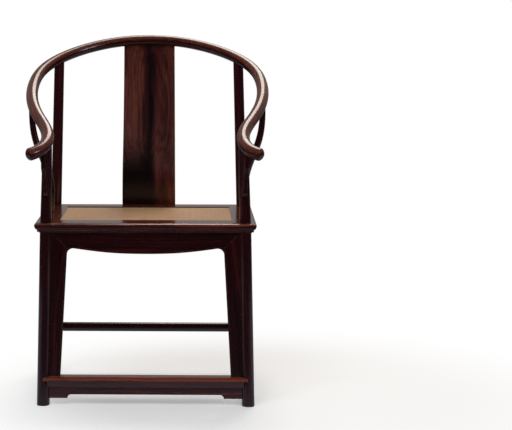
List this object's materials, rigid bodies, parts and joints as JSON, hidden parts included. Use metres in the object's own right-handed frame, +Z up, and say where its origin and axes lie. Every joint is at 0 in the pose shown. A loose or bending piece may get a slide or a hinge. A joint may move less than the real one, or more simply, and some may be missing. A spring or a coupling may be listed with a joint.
{
  "type": "horseshoe back armchair",
  "caption": "Horseshoe back armchair with continuous crest rail, curved splat, cane mat seat, arched aprons and stretchers.",
  "frame": {"origin": "on the floor, under the middle of the chair's bounding box", "axes": "+Z up, the sitter faces -Y, +X to the right as seen from the front"},
  "size_m": [0.6796, 0.5884, 0.9976],
  "materials": {
    "hardwood": "waxed, satin gloss",
    "figured_hardwood": "waxed, satin gloss",
    "cane": "woven, matte",
    "palm_fibre": "cord, matte"
  },
  "bodies": {
    "root": {"arm_rail_left": "hardwood", "arm_rail_right": "hardwood", "back_splat": "figured_hardwood", "back_stretcher": "hardwood", "crest_rail_centre": "hardwood", "crest_rail_shoulder_left": "hardwood", "crest_rail_shoulder_right": "hardwood", "footrest": "hardwood", "footrest_apron": "hardwood", "front_apron": "hardwood", "front_apron_upright_left": "hardwood", "front_apron_upright_right": "hardwood", "front_leg_left": "hardwood", "front_leg_right": "hardwood", "grip_spandrel_left": "hardwood", "grip_spandrel_right": "hardwood", "mat_strip_back": "hardwood", "mat_strip_front": "hardwood", "mat_strip_left": "hardwood", "mat_strip_right": "hardwood", "rail_joint_wedges": "hardwood", "rear_apron": "hardwood", "rear_leg_left": "hardwood", "rear_leg_right": "hardwood", "seat_brace_left": "hardwood", "seat_brace_right": "hardwood", "seat_mat": "cane", "seat_rail_back": "hardwood", "seat_rail_front": "hardwood", "seat_rail_left": "hardwood", "seat_rail_right": "hardwood", "seat_webbing": "palm_fibre", "side_apron_left": "hardwood", "side_apron_right": "hardwood", "side_apron_upright_front_left": "hardwood", "side_apron_upright_front_right": "hardwood", "side_apron_upright_rear_left": "hardwood", "side_apron_upright_rear_right": "hardwood", "side_post_left": "hardwood", "side_post_right": "hardwood", "side_stretcher_apron_left": "hardwood", "side_stretcher_apron_right": "hardwood", "side_stretcher_left": "hardwood", "side_stretcher_right": "hardwood"}
  },
  "joints": []
}
